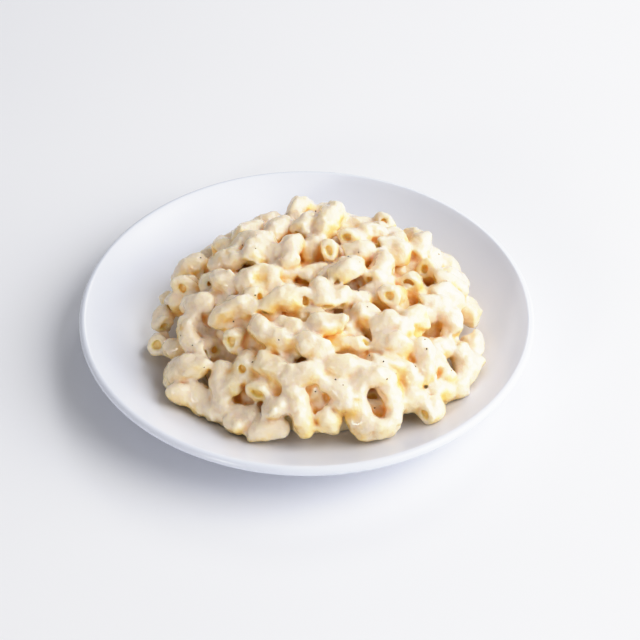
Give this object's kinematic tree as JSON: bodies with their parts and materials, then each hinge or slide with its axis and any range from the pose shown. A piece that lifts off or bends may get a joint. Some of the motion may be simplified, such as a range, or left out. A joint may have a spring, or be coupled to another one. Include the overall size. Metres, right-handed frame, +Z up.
{
  "type": "plate of macaroni and cheese",
  "caption": "Heap of elbow macaroni in pale cheese sauce on a round white coupe plate, served as a plated meal.",
  "frame": {"origin": "middle of the plate's foot ring, on the table surface", "axes": "+Z up through the middle of the plate; -Y is the side that faces the diner, +X to the diner's right"},
  "size_m": [0.22, 0.22, 0.0624],
  "materials": {
    "porcelain": "glossy white glaze",
    "sauced_pasta": null
  },
  "bodies": {
    "root": {"plate": "porcelain", "macaroni_heap": "sauced_pasta"}
  },
  "joints": []
}
